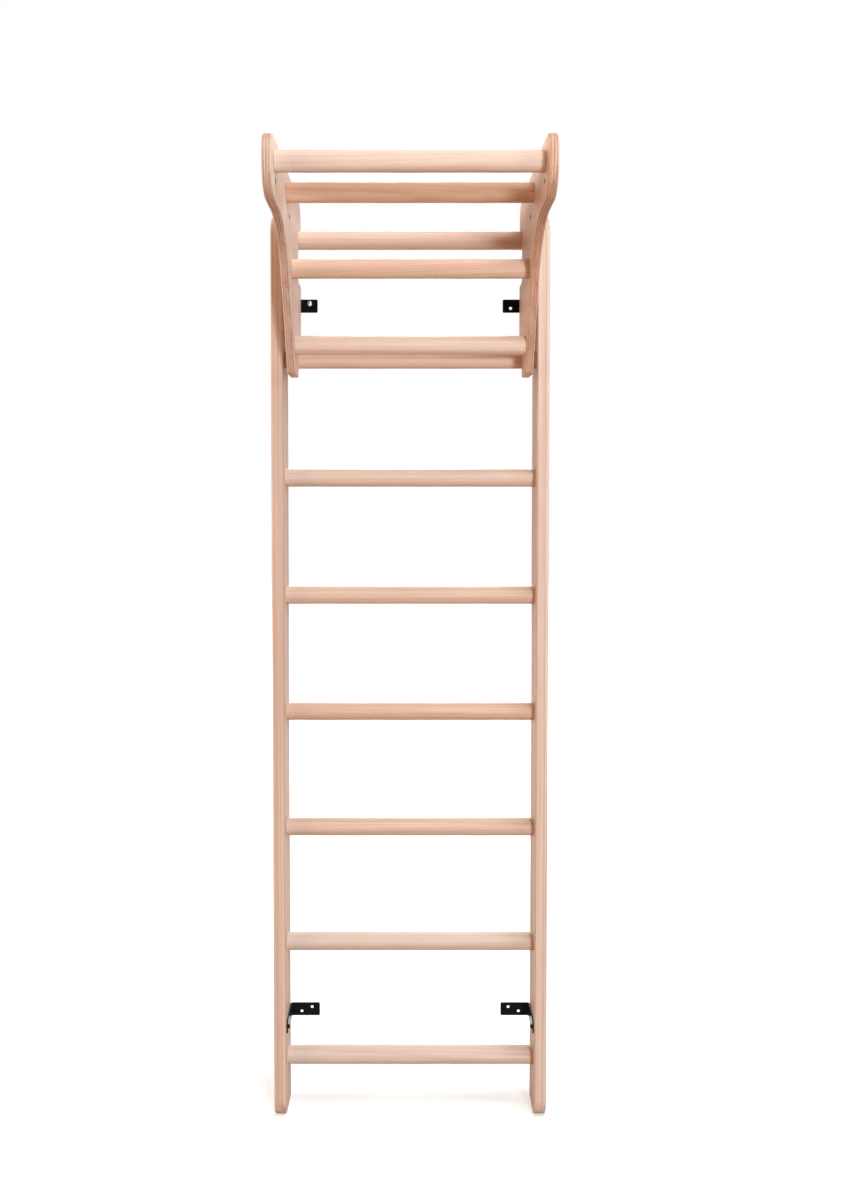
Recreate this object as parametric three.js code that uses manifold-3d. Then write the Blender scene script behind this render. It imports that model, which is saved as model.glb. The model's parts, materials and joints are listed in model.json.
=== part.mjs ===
import * as THREE from 'three';
import { mergeVertices } from 'three/addons/utils/BufferGeometryUtils.js';
import Module from 'manifold-3d';

// Swedish wall bars: a wooden ladder fixed to a wall, with a pull-up unit hooked on its top two rungs.
// Millimetres. X runs to the right, Y towards the wall and Z up. The origin lies on the wall plane at
// floor level, midway between the uprights.

const wasm = await Module();
wasm.setup();

// Ladder
const ladderWidth = 614; // over the outer faces of the uprights
const uprightThickness = 27;
const uprightDepth = 105;
const uprightRound = 4; // rounded-over edges of the uprights
const uprightEndRound = 50; // front corners at the head and the foot, seen from the side
const uprightFootTrim = 10; // the foot is sawn off square this far inside its full round
const rungCount = 8;
const rungDiameter = 40;
const firstRungHeight = 120; // axis of the lowest rung above the floor
const rungPitch = 265;
const uprightTopMargin = 50; // upright above the axis of the highest rung
const socketDepth = 14; // blind hole in an upright that takes a rung's end

// Fits
const fitGap = 0.3; // left between fixed neighbours
const hookGap = 0.8; // left between a hook and the rung it hangs on
const pilotSpare = 1; // depth of a pilot hole past its screw's tip
const cutMargin = 5; // how far a cutting tool runs past a face

// Roundness
const barFacets = 24;
const screwFacets = 10;
const roundSteps = 2; // facets across a rounded-over edge
const arcTolerance = 0.35; // how far a rounded corner may lie from its true arc
const samePoint = 1e-3; // points closer than this are one

// Turned bars
const barEndChamfer = 1.5;

// The dome of a pan head: radius and height of its crown and of its shoulder, as shares of the head
const panCrown = [0.6, 0.92];
const panShoulder = [0.92, 0.5];

// Countersunk screws through the uprights into the rungs, and through the plates into the grips
const woodScrewShank = 5;
const woodScrewHead = 10;
const woodScrewLength = 55;
const woodScrewTip = 6;

// Steel angle brackets
const bracketHeight = 30;
const bracketGauge = 3;
const bracketBend = 3; // inner radius of the bend
const bracketCornerRound = 3;
const wallLeg = 68; // from the upright's inner face along the wall
const bracketFrontMargin = 15; // front of the upright past the end of the bracket's other leg
const bracketHole = 7;
const wallHoleFromEnd = 18;
const wallHoleSpacing = 24;
const uprightHoleFromEnd = 14;
const uprightHoleSpacing = 38;
const holeStagger = 5; // holes lie this far above and below the bracket's middle
const lowerBracketLift = 82; // above the axis of the lowest rung
const upperBracketLift = 128; // above the axis of the second highest rung

// Pan-head screws of the brackets
const bracketScrewShank = 4.5;
const bracketScrewHead = 10;
const bracketScrewHeadHeight = 3;
const bracketScrewLength = 22;
const bracketScrewTip = 4;
const wallScrewShank = 6;
const wallScrewHead = 12;
const wallScrewHeadHeight = 4;
const wallScrewLength = 40;
const wallScrewTip = 6;

// Pull-up unit: reach is measured forwards from the rung axes and rise upwards from the top rung's axis
const unitSideGap = 14; // between an upright and the unit's side plate
const gripDiameter = 40;
const plateThickness = 18;
const plateRound = 4; // rounded-over edges of the plates
const hookCrown = 67.5; // wood above the top rung
const hookCrownRound = 42;
const hookLip = 13; // wood behind the rungs
const hookLipDrop = 8; // the lip ends this far below the top rung's axis
const hookSlotDrop = 94; // floor of the hook's slot below the top rung's axis
const hookSlotRound = 10;
const stepGap = 10; // between the plate's lower step and the second rung under it
const plateCornerRound = 8;
const headReach = 496;
const headHeight = 116;
const headTopRound = 40; // upper front corner of the head
const sweepReach = 260; // where the lines of the head's underside and of the front edge would meet
const sweepRound = 200;
const tipWidth = 68;
const tipDrop = 43; // end of the tip below the second rung's axis
const tipRound = 16;
const frontGripInset = 56; // behind the front of the head
const frontGripDepth = 44; // below the plate's top edge
const middleGripReach = 244;
const middleGripDepth = 48; // below the plate's top edge
const innerGripReach = 155;
const innerGripDrop = 94; // below the top rung's axis
const lowerGripLift = 19; // lowest grip above the second rung's axis
const lowerGripMargin = 2.5; // wood between the lowest grip and the plate's front edge
const strapHole = 9;
const frontStrapBehind = 10; // behind and below the front grip's axis
const frontStrapBelow = 33;
const backStrapReach = 194;
const backStrapDepth = 83; // below the plate's top edge

// Worked-out places
const outerHalfWidth = ladderWidth / 2;
const innerHalfWidth = outerHalfWidth - uprightThickness;
const rungRadius = rungDiameter / 2;
const rungFromWall = uprightDepth / 2;
const rungHalfLength = innerHalfWidth + socketDepth - fitGap;
const rungHeights = Array.from({ length: rungCount }, (_, i) => firstRungHeight + i * rungPitch);
const topRungHeight = rungHeights[rungCount - 1];
const ladderHeight = topRungHeight + uprightTopMargin;
const lowerBracketHeight = firstRungHeight + lowerBracketLift;
const upperBracketHeight = topRungHeight - rungPitch + upperBracketLift;
const uprightLeg = uprightDepth - bracketFrontMargin;
const uprightHoleFar = uprightLeg - uprightHoleFromEnd;
const uprightHoleNear = uprightHoleFar - uprightHoleSpacing;
const wallHoleFar = wallLeg - wallHoleFromEnd;
const wallHoleNear = wallHoleFar - wallHoleSpacing;
const bracketFace = innerHalfWidth - fitGap; // outside of a bracket's leg on the upright
const woodScrewHeadHeight = (woodScrewHead - woodScrewShank) / 2;
const gripRadius = gripDiameter / 2;
const plateOuter = innerHalfWidth - unitSideGap;
const plateInner = plateOuter - plateThickness;
const gripHalfLength = plateInner - fitGap;
const sides = [
  { side: 'left', sign: -1 },
  { side: 'right', sign: 1 },
];
const right = new THREE.Vector3(1, 0, 0);
const forwards = new THREE.Vector3(0, -1, 0);
const wallwards = new THREE.Vector3(0, 1, 0);
const up = new THREE.Vector3(0, 0, 1);
const sideways = new THREE.Matrix4().makeBasis(wallwards, up, right); // a side view's outline, thick along X

// The upper right bracket is fitted the other way up, so its holes are staggered the other way.
const brackets = [
  { level: 'lower', side: 'left', sign: -1, height: lowerBracketHeight, stagger: holeStagger },
  { level: 'lower', side: 'right', sign: 1, height: lowerBracketHeight, stagger: holeStagger },
  { level: 'upper', side: 'left', sign: -1, height: upperBracketHeight, stagger: holeStagger },
  { level: 'upper', side: 'right', sign: 1, height: upperBracketHeight, stagger: -holeStagger },
];

// Finishes
const pine = { color: 0xe2bda2, roughness: 0.6, metalness: 0 };
const beech = { color: 0xe8c6ad, roughness: 0.5, metalness: 0 };
const birchPly = { color: 0xe6c3ab, roughness: 0.55, metalness: 0 };
const blackSteel = { color: 0x141313, roughness: 0.5, metalness: 0.2 };
const zincSteel = { color: 0xc9c9c7, roughness: 0.3, metalness: 1 };

// A closed geometry as a solid for joining and cutting.
function solid(geometry) {
  const bare = geometry.index ? geometry.toNonIndexed() : geometry.clone();
  bare.deleteAttribute('normal');
  bare.deleteAttribute('uv');
  const merged = mergeVertices(bare, samePoint);
  const mesh = new wasm.Mesh({
    numProp: 3,
    vertProperties: merged.attributes.position.array,
    triVerts: new Uint32Array(merged.index.array),
  });
  return new wasm.Manifold(mesh);
}

// The surface of a solid, shaded flat.
function surface(made) {
  const { vertProperties, triVerts } = made.getMesh();
  const geometry = new THREE.BufferGeometry();
  geometry.setAttribute('position', new THREE.BufferAttribute(vertProperties, 3));
  geometry.setIndex(new THREE.BufferAttribute(triVerts, 1));
  const flat = geometry.toNonIndexed();
  flat.computeVertexNormals();
  return flat;
}

// The blank with every cutter taken away.
function cut(blank, cutters) {
  return surface(cutters.reduce((left, cutter) => left.subtract(solid(cutter)), solid(blank)));
}

// A closed outline through the corners [x, y, radius], each rounded by its own radius.
function roundedOutline(corners) {
  const points = [];
  corners.forEach(([x, y, radius], i) => {
    const corner = new THREE.Vector2(x, y);
    if (!radius) {
      points.push(corner);
      return;
    }
    const before = corners[(i + corners.length - 1) % corners.length];
    const after = corners[(i + 1) % corners.length];
    const back = new THREE.Vector2(before[0] - x, before[1] - y).normalize();
    const ahead = new THREE.Vector2(after[0] - x, after[1] - y).normalize();
    const halfAngle = Math.acos(back.dot(ahead)) / 2;
    const middle = back.clone().add(ahead).normalize();
    const centre = corner.clone().addScaledVector(middle, radius / Math.sin(halfAngle));
    const tangent = radius / Math.tan(halfAngle);
    const start = corner.clone().addScaledVector(back, tangent).sub(centre);
    const turn = Math.sign(ahead.cross(back)) * (Math.PI - 2 * halfAngle);
    const facetTurn = 2 * Math.acos(Math.max(0, 1 - arcTolerance / radius));
    const steps = Math.max(2, Math.ceil(Math.abs(turn) / facetTurn));
    for (let step = 0; step <= steps; step += 1) {
      const arm = start.clone().rotateAround(new THREE.Vector2(), (turn * step) / steps);
      points.push(arm.add(centre));
    }
  });
  return points.filter((point, i) => point.distanceTo(points[(i + 1) % points.length]) > samePoint);
}

// A board of the given outline and thickness, its edges rounded over or chamfered by the given size.
function board(outline, thickness, edge, edgeSteps) {
  const geometry = new THREE.ExtrudeGeometry(new THREE.Shape(outline), {
    depth: thickness - 2 * edge,
    bevelEnabled: edge > 0,
    bevelThickness: edge,
    bevelSize: edge,
    bevelOffset: -edge,
    bevelSegments: edgeSteps,
  });
  return geometry.translate(0, 0, edge);
}

// A turned solid along +X from [radius, distance] pairs that start and end on the axis.
function turned(profile, facets) {
  const points = profile.map(([radius, along]) => new THREE.Vector2(radius, along));
  return new THREE.LatheGeometry(points, facets).rotateZ(-Math.PI / 2);
}

// A straight round cutter along +X.
function drill(diameter, from, to, facets) {
  const radius = diameter / 2;
  return turned([[0, from], [radius, from], [radius, to], [0, to]], facets);
}

// A round bar centred on the origin along X, with a pilot hole in each end.
function roundBar(halfLength, diameter, pilotDepth) {
  const radius = diameter / 2;
  const pilot = woodScrewShank / 2 + fitGap;
  const end = [
    [0, halfLength - pilotDepth],
    [pilot, halfLength - pilotDepth],
    [pilot, halfLength],
    [radius - barEndChamfer, halfLength],
    [radius, halfLength - barEndChamfer],
  ];
  const start = end.map(([r, along]) => [r, -along]);
  return turned([...start, ...end.reverse()], barFacets);
}

// A countersunk screw with the flat of its head at the origin and its tip towards -X.
function countersunkScrew() {
  const shank = woodScrewShank / 2;
  return turned([
    [0, -woodScrewLength],
    [shank, woodScrewTip - woodScrewLength],
    [shank, -woodScrewHeadHeight],
    [woodScrewHead / 2, 0],
    [0, 0],
  ], screwFacets);
}

// The hole that such a screw lies in, through the given thickness.
function countersunkHole(through) {
  const shank = woodScrewShank / 2 + fitGap;
  const head = woodScrewHead / 2 + fitGap;
  return turned([
    [0, -through],
    [shank, -through],
    [shank, -woodScrewHeadHeight],
    [head, 0],
    [head, cutMargin],
    [0, cutMargin],
  ], screwFacets);
}

// A pan-head screw with its head's underside at the origin and its tip towards +X.
function panScrew(shankDiameter, headDiameter, domeHeight, length, tip) {
  const shank = shankDiameter / 2;
  const head = headDiameter / 2;
  return turned([
    [0, -domeHeight],
    [head * panCrown[0], -domeHeight * panCrown[1]],
    [head * panShoulder[0], -domeHeight * panShoulder[1]],
    [head, 0],
    [shank, 0],
    [shank, length - tip],
    [0, length],
  ], screwFacets);
}

const wallBars = new THREE.Group();
const ladder = new THREE.Group();
const pullUpUnit = new THREE.Group();
wallBars.add(ladder, pullUpUnit);

// Adds one named piece to a group. Left-hand pieces are right-hand ones mirrored across X.
function piece(group, name, geometry, finish, place = [0, 0, 0], sign = 1) {
  const mesh = new THREE.Mesh(geometry, new THREE.MeshStandardMaterial(finish));
  mesh.name = name;
  mesh.position.set(place[0] * sign, place[1], place[2]);
  mesh.scale.x = sign;
  group.add(mesh);
}

// Where a bracket's two screws enter the upright: [distance from the wall, height].
function uprightScrewPlaces({ height, stagger }) {
  return [
    [uprightHoleNear, height + stagger],
    [uprightHoleFar, height - stagger],
  ];
}

// Upright: a long rounded-over board with round front corners at both ends and its foot sawn off square,
// blind rung sockets in its inner face, countersunk screw holes in its outer face and pilot holes for the
// brackets. Built on the right-hand side.
function upright(side) {
  const outline = roundedOutline([
    [-uprightDepth, -uprightFootTrim, uprightEndRound],
    [0, -uprightFootTrim, 0],
    [0, ladderHeight, 0],
    [-uprightDepth, ladderHeight, uprightEndRound],
  ]);
  const blank = board(outline, uprightThickness, uprightRound, roundSteps)
    .applyMatrix4(sideways)
    .translate(innerHalfWidth, 0, 0);
  const socketFloor = innerHalfWidth + socketDepth;
  const socketDiameter = rungDiameter + 2 * fitGap;
  const web = uprightThickness - socketDepth + cutMargin;
  const offcut = uprightFootTrim + cutMargin;
  const saw = new THREE.BoxGeometry(uprightThickness + 2 * cutMargin, uprightDepth + 2 * cutMargin, offcut);
  const middle = innerHalfWidth + uprightThickness / 2;
  const cutters = [saw.translate(middle, -uprightDepth / 2, -offcut / 2)];
  rungHeights.forEach((height) => {
    const socket = drill(socketDiameter, innerHalfWidth - cutMargin, socketFloor, barFacets);
    cutters.push(socket.translate(0, -rungFromWall, height));
    cutters.push(countersunkHole(web).translate(outerHalfWidth, -rungFromWall, height));
  });
  const pilotEnd = innerHalfWidth + bracketScrewLength - bracketGauge + pilotSpare;
  brackets.filter((bracket) => bracket.side === side).forEach((bracket) => {
    uprightScrewPlaces(bracket).forEach(([fromWall, height]) => {
      const diameter = bracketScrewShank + 2 * fitGap;
      const pilot = drill(diameter, innerHalfWidth - cutMargin, pilotEnd, screwFacets);
      cutters.push(pilot.translate(0, -fromWall, height));
    });
  });
  return cut(blank, cutters);
}

// Angle bracket on the right-hand upright, centred on Z = 0: a folded strip with rounded corners and
// two staggered holes in each leg.
function bracket(stagger) {
  const outerBend = bracketBend + bracketGauge;
  const fold = roundedOutline([
    [bracketFace, 0, outerBend],
    [bracketFace - wallLeg, 0, 0],
    [bracketFace - wallLeg, -bracketGauge, 0],
    [bracketFace - bracketGauge, -bracketGauge, bracketBend],
    [bracketFace - bracketGauge, -uprightLeg, 0],
    [bracketFace, -uprightLeg, 0],
  ]);
  const strip = board(fold, bracketHeight, 0, 1).translate(0, 0, -bracketHeight / 2);
  const half = bracketHeight / 2;
  const wide = wallLeg + uprightLeg;
  const wallEnd = roundedOutline([
    [bracketFace - wallLeg, -half, bracketCornerRound],
    [bracketFace + cutMargin, -half, 0],
    [bracketFace + cutMargin, half, 0],
    [bracketFace - wallLeg, half, bracketCornerRound],
  ]);
  const uprightEnd = roundedOutline([
    [-uprightLeg, -half, bracketCornerRound],
    [cutMargin, -half, 0],
    [cutMargin, half, 0],
    [-uprightLeg, half, bracketCornerRound],
  ]);
  const alongWall = board(wallEnd, 2 * wide, 0, 1).translate(0, 0, -wide).rotateX(Math.PI / 2);
  const alongUpright = board(uprightEnd, 2 * wide, 0, 1)
    .translate(0, 0, bracketFace - wide)
    .applyMatrix4(sideways);
  let made = solid(strip).intersect(solid(alongWall)).intersect(solid(alongUpright));
  [[wallHoleNear, -stagger], [wallHoleFar, stagger]].forEach(([along, rise]) => {
    const hole = drill(bracketHole, -cutMargin - bracketGauge, cutMargin, screwFacets).rotateZ(Math.PI / 2);
    made = made.subtract(solid(hole.translate(bracketFace - along, 0, rise)));
  });
  uprightScrewPlaces({ height: 0, stagger }).forEach(([fromWall, rise]) => {
    const from = bracketFace - bracketGauge - cutMargin;
    const hole = drill(bracketHole, from, bracketFace + cutMargin, screwFacets);
    made = made.subtract(solid(hole.translate(0, -fromWall, rise)));
  });
  return surface(made);
}

// Uprights and rungs
sides.forEach(({ side, sign }) => {
  piece(ladder, `upright_${side}`, upright(side), pine, [0, 0, 0], sign);
});
const rungPilot = rungHalfLength - (outerHalfWidth - woodScrewLength) + pilotSpare;
rungHeights.forEach((height, i) => {
  const number = i + 1;
  piece(ladder, `rung_${number}`, roundBar(rungHalfLength, rungDiameter, rungPilot), beech,
    [0, -rungFromWall, height]);
  sides.forEach(({ side, sign }) => {
    piece(ladder, `rung_screw_${number}_${side}`, countersunkScrew(), zincSteel,
      [outerHalfWidth, -rungFromWall, height], sign);
  });
});

// Brackets and their screws
brackets.forEach(({ level, side, sign, height, stagger }) => {
  const name = `bracket_${level}_${side}`;
  piece(ladder, name, bracket(stagger), blackSteel, [0, 0, height], sign);
  uprightScrewPlaces({ height, stagger }).forEach(([fromWall, rise], i) => {
    const screw = panScrew(bracketScrewShank, bracketScrewHead, bracketScrewHeadHeight,
      bracketScrewLength, bracketScrewTip);
    piece(ladder, `${name}_screw_${i + 1}`, screw, blackSteel,
      [bracketFace - bracketGauge - fitGap, -fromWall, rise], sign);
  });
});

// One screw holds the upper left bracket to the wall.
const wallScrew = panScrew(wallScrewShank, wallScrewHead, wallScrewHeadHeight, wallScrewLength, wallScrewTip)
  .rotateZ(Math.PI / 2);
piece(ladder, 'wall_screw', wallScrew, zincSteel,
  [bracketFace - wallHoleFar, -bracketGauge - fitGap, upperBracketHeight + holeStagger], -1);

// The side plate in reach and rise. A slot from the back seats it on the top rung and lets it be lifted
// off. Lower down it steps over the second rung and leans on it, and its tip hangs in front.
const hookRadius = rungRadius + hookGap;
const hookBack = -hookRadius - hookLip;
const crownRise = hookRadius + hookCrown;
const headFloor = crownRise - headHeight;
const headRound = headHeight / 2;
const stepRise = hookRadius + stepGap - rungPitch;
const tipRise = -rungPitch - tipDrop;
const tipReach = hookRadius + tipWidth;

// The straight front edge runs from the tip to the sweep, which the head's underside has room for.
const frontEdge = new THREE.Vector2(sweepReach - tipReach, headFloor - tipRise);
const sweepRoom = headReach - headRound - sweepReach;
const sweepRadius = Math.min(sweepRound, sweepRoom / Math.tan(frontEdge.angle() / 2));
const plateOutline = roundedOutline([
  [hookBack, -hookLipDrop, hookLip / 2],
  [-hookRadius, -hookLipDrop, hookLip / 2],
  [-hookRadius, hookRadius, hookRadius],
  [hookRadius, hookRadius, hookRadius],
  [hookRadius, -hookSlotDrop, hookSlotRound],
  [hookBack, -hookSlotDrop, hookSlotRound],
  [hookBack, stepRise, plateCornerRound],
  [hookRadius, stepRise, plateCornerRound],
  [hookRadius, tipRise, plateCornerRound],
  [tipReach, tipRise, tipRound],
  [sweepReach, headFloor, sweepRadius],
  [headReach, headFloor, headRound],
  [headReach, crownRise, headTopRound],
  [hookBack, crownRise, hookCrownRound],
]);

// The lowest grip lies behind the plate's straight front edge, with a margin of wood in front of it.
const lowerGripRise = lowerGripLift - rungPitch;
const edgeReach = tipReach + ((lowerGripRise - tipRise) * frontEdge.x) / frontEdge.y;
const lowerGripInset = ((gripRadius + lowerGripMargin) * frontEdge.length()) / frontEdge.y;
const frontGripReach = headReach - frontGripInset;
const frontGripRise = crownRise - frontGripDepth;
const grips = [
  { name: 'front_grip', reach: frontGripReach, rise: frontGripRise },
  { name: 'middle_grip', reach: middleGripReach, rise: crownRise - middleGripDepth },
  { name: 'inner_grip', reach: innerGripReach, rise: -innerGripDrop },
  { name: 'lower_grip', reach: edgeReach - lowerGripInset, rise: lowerGripRise },
];
const strapHoles = [
  [frontGripReach - frontStrapBehind, frontGripRise - frontStrapBelow],
  [backStrapReach, crownRise - backStrapDepth],
];

// A place in reach and rise, as Y and Z.
function unitPlace(reach, rise) {
  return [-rungFromWall - reach, topRungHeight + rise];
}

// Side plate on the right-hand side, rounded over all round, with screw holes from its outer face and
// two plain holes for straps.
function sidePlate() {
  const turn = new THREE.Matrix4().makeBasis(forwards, up, right.clone().negate());
  const [y, z] = unitPlace(0, 0);
  const blank = board(plateOutline, plateThickness, plateRound, roundSteps)
    .applyMatrix4(turn)
    .translate(plateOuter, y, z);
  const screwHoles = grips.map(({ reach, rise }) => (
    countersunkHole(plateThickness + cutMargin).translate(plateOuter, ...unitPlace(reach, rise))
  ));
  const straps = strapHoles.map(([reach, rise]) => (
    drill(strapHole, plateInner - cutMargin, plateOuter + cutMargin, screwFacets)
      .translate(0, ...unitPlace(reach, rise))
  ));
  return cut(blank, [...screwHoles, ...straps]);
}

// Side plates, grips and their screws
sides.forEach(({ side, sign }) => {
  piece(pullUpUnit, `side_plate_${side}`, sidePlate(), birchPly, [0, 0, 0], sign);
});
const gripPilot = gripHalfLength - (plateOuter - woodScrewLength) + pilotSpare;
grips.forEach(({ name, reach, rise }) => {
  const [y, z] = unitPlace(reach, rise);
  piece(pullUpUnit, name, roundBar(gripHalfLength, gripDiameter, gripPilot), beech, [0, y, z]);
  sides.forEach(({ side, sign }) => {
    piece(pullUpUnit, `${name}_screw_${side}`, countersunkScrew(), zincSteel, [plateOuter, y, z], sign);
  });
});

export default wallBars;
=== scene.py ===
import json
import math

import bmesh
import bpy
import numpy as np
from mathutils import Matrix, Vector
from mathutils.geometry import delaunay_2d_cdt

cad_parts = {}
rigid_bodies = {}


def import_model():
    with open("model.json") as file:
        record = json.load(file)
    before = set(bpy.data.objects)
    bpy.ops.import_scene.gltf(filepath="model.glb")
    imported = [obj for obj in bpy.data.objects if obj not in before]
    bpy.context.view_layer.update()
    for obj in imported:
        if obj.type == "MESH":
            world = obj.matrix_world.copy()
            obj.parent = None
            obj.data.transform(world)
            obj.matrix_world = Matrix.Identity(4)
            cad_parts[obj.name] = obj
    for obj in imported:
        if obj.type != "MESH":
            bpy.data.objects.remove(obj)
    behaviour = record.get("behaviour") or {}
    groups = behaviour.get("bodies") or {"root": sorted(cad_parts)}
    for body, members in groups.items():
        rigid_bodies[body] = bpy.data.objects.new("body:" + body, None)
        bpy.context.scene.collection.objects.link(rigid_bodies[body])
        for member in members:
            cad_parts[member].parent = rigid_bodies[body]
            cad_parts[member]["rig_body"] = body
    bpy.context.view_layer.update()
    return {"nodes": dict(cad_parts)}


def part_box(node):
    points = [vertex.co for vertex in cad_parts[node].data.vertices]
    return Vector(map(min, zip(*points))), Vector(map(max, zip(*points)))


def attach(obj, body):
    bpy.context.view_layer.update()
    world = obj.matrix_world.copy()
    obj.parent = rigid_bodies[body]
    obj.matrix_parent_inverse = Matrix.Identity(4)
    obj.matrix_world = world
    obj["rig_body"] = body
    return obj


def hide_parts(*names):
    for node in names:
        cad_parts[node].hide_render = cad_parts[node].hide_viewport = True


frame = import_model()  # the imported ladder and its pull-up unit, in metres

mm = 0.001
chance = np.random.default_rng(41)  # one seeded draw order for every piece
sides = {"left": -1.0, "right": 1.0}
print("frame loaded:", len(frame["nodes"]), "nodes")


# Shader helpers

def feed(tree, socket, value):  # a socket is linked, a number is set
    if isinstance(value, bpy.types.NodeSocket):
        tree.links.new(value, socket)
    else:
        socket.default_value = value


def calc(tree, operation, *values):
    node = tree.nodes.new("ShaderNodeMath")
    node.operation = operation
    for socket, value in zip(node.inputs, values):
        feed(tree, socket, value)
    return node.outputs[0]


def vectorCalc(tree, operation, *values):
    node = tree.nodes.new("ShaderNodeVectorMath")
    node.operation = operation
    for socket, value in zip(node.inputs, values):
        feed(tree, socket, value)
    return node.outputs["Value"] if operation == "LENGTH" else node.outputs[0]


def ease(tree, value, low, high, outLow=0.0, outHigh=1.0):  # smooth step between low and high
    node = tree.nodes.new("ShaderNodeMapRange")
    node.interpolation_type = "SMOOTHSTEP"
    for name, setting in zip(("Value", "From Min", "From Max", "To Min", "To Max"),
                             (value, low, high, outLow, outHigh)):
        feed(tree, node.inputs[name], setting)
    return node.outputs["Result"]


def blendColour(tree, share, first, second):
    node = tree.nodes.new("ShaderNodeMix")
    node.data_type = "RGBA"
    feed(tree, node.inputs[0], share)
    feed(tree, node.inputs[6], first)
    feed(tree, node.inputs[7], second)
    return node.outputs[2]


def blendVector(tree, share, first, second):
    node = tree.nodes.new("ShaderNodeMix")
    node.data_type = "VECTOR"
    feed(tree, node.inputs[0], share)
    feed(tree, node.inputs[4], first)
    feed(tree, node.inputs[5], second)
    return node.outputs[1]


def cloud(tree, point, stretch, detail=2.0, rough=0.5):  # noise with cycles per metre along each axis
    node = tree.nodes.new("ShaderNodeTexNoise")
    node.inputs["Scale"].default_value = 1.0
    node.inputs["Detail"].default_value = detail
    node.inputs["Roughness"].default_value = rough
    feed(tree, node.inputs["Vector"], vectorCalc(tree, "MULTIPLY", point, stretch))
    return node.outputs["Fac"]


def newGroup(name, inputs, outputs):
    tree = bpy.data.node_groups.new(name, "ShaderNodeTree")
    for label, kind in inputs:
        tree.interface.new_socket(name=label, in_out="INPUT", socket_type="NodeSocket" + kind)
    for label, kind in outputs:
        tree.interface.new_socket(name=label, in_out="OUTPUT", socket_type="NodeSocket" + kind)
    return tree, tree.nodes.new("NodeGroupInput").outputs, tree.nodes.new("NodeGroupOutput").inputs


def placeGroup(tree, group, **settings):
    node = tree.nodes.new("ShaderNodeGroup")
    node.node_tree = group
    for label, value in settings.items():
        feed(tree, node.inputs[label], value)
    return node.outputs


def newMaterial(name, **settings):
    material = bpy.data.materials.new(name)
    material.use_nodes = True
    tree = material.node_tree
    shader = tree.nodes["Principled BSDF"]
    for label, value in settings.items():
        shader.inputs[label].default_value = value
    return material, tree, shader


def reliefNormal(tree, height, strength, distance):
    bump = tree.nodes.new("ShaderNodeBump")
    bump.inputs["Strength"].default_value = strength
    bump.inputs["Distance"].default_value = distance
    feed(tree, bump.inputs["Height"], height)
    return bump.outputs["Normal"]


def pieceValue(tree, name, kind="Fac"):
    node = tree.nodes.new("ShaderNodeAttribute")
    node.attribute_name = name
    return node.outputs[kind]


# Wood figure: growth rings round a distant heart line along Z, long fibres and streaks, broad bands, short
# flecks and a few brown marks

woodLook = {
    "ringWander": 0.016,  # metres by which a ring strays from a true circle
    "wanderScale": (8.0, 8.0, 1.1),
    "bandScale": (38.0, 38.0, 1.4),
    "fibreScale": (480.0, 480.0, 7.0),
    "fleckScale": (620.0, 620.0, 85.0),
    "fleckLimit": (0.655, 0.74),
    "streakScale": (125.0, 125.0, 0.6),
    "markScale": (190.0, 190.0, 26.0),
    "markLimit": (0.715, 0.77),
}


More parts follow.
